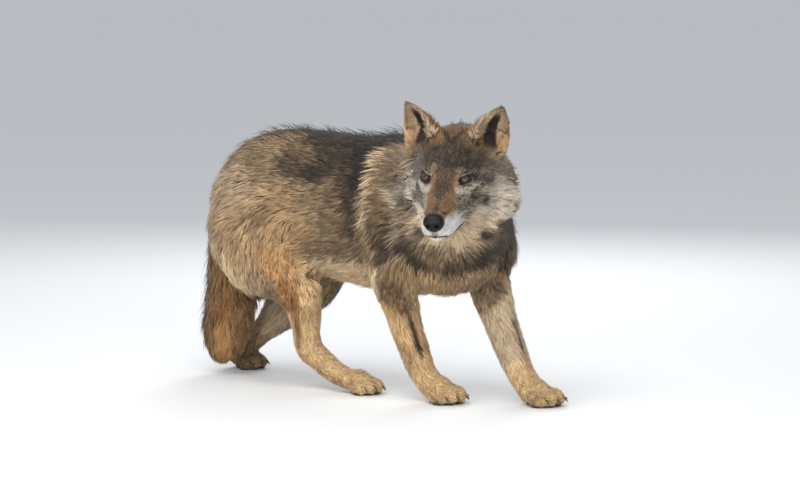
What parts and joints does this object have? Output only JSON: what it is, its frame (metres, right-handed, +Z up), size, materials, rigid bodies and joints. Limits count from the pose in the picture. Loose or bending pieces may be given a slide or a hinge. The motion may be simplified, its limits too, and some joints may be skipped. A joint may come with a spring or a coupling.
{
  "type": "grey wolf model",
  "caption": "Life-size grey wolf in a winter coat, walking low with its head turned to its right, standing on flat-footed paws.",
  "frame": {"origin": "middle of the bounding box, on the floor under the paws", "axes": "+X forward along the body, +Y to the wolf's left, +Z up"},
  "size_m": [1.1034, 0.4402, 0.727],
  "materials": {
    "coat": "grey-brown winter fur, matt",
    "throat_coat": "pale short fur, matt",
    "ear_coat": "short rust-brown fur, matt",
    "leg_coat": "tan short fur, matt",
    "eye": "wet gloss",
    "nose_leather": "black pebbled leather, moist"
  },
  "bodies": {
    "root": {"head": "coat", "lower_jaw": "throat_coat", "neck": "coat", "trunk": "coat", "tail": "coat", "ear_right": "ear_coat", "ear_left": "ear_coat", "eye_right": "eye", "eye_left": "eye", "nose": "nose_leather", "foreleg_right": "coat", "foreleg_left": "coat", "forearm_right": "leg_coat", "forearm_left": "leg_coat", "paw_front_right": "leg_coat", "paw_front_left": "leg_coat", "hindleg_right": "coat", "hindleg_left": "coat", "shank_right": "leg_coat", "shank_left": "leg_coat", "foot_hind_right": "leg_coat", "foot_hind_left": "leg_coat"}
  },
  "joints": []
}
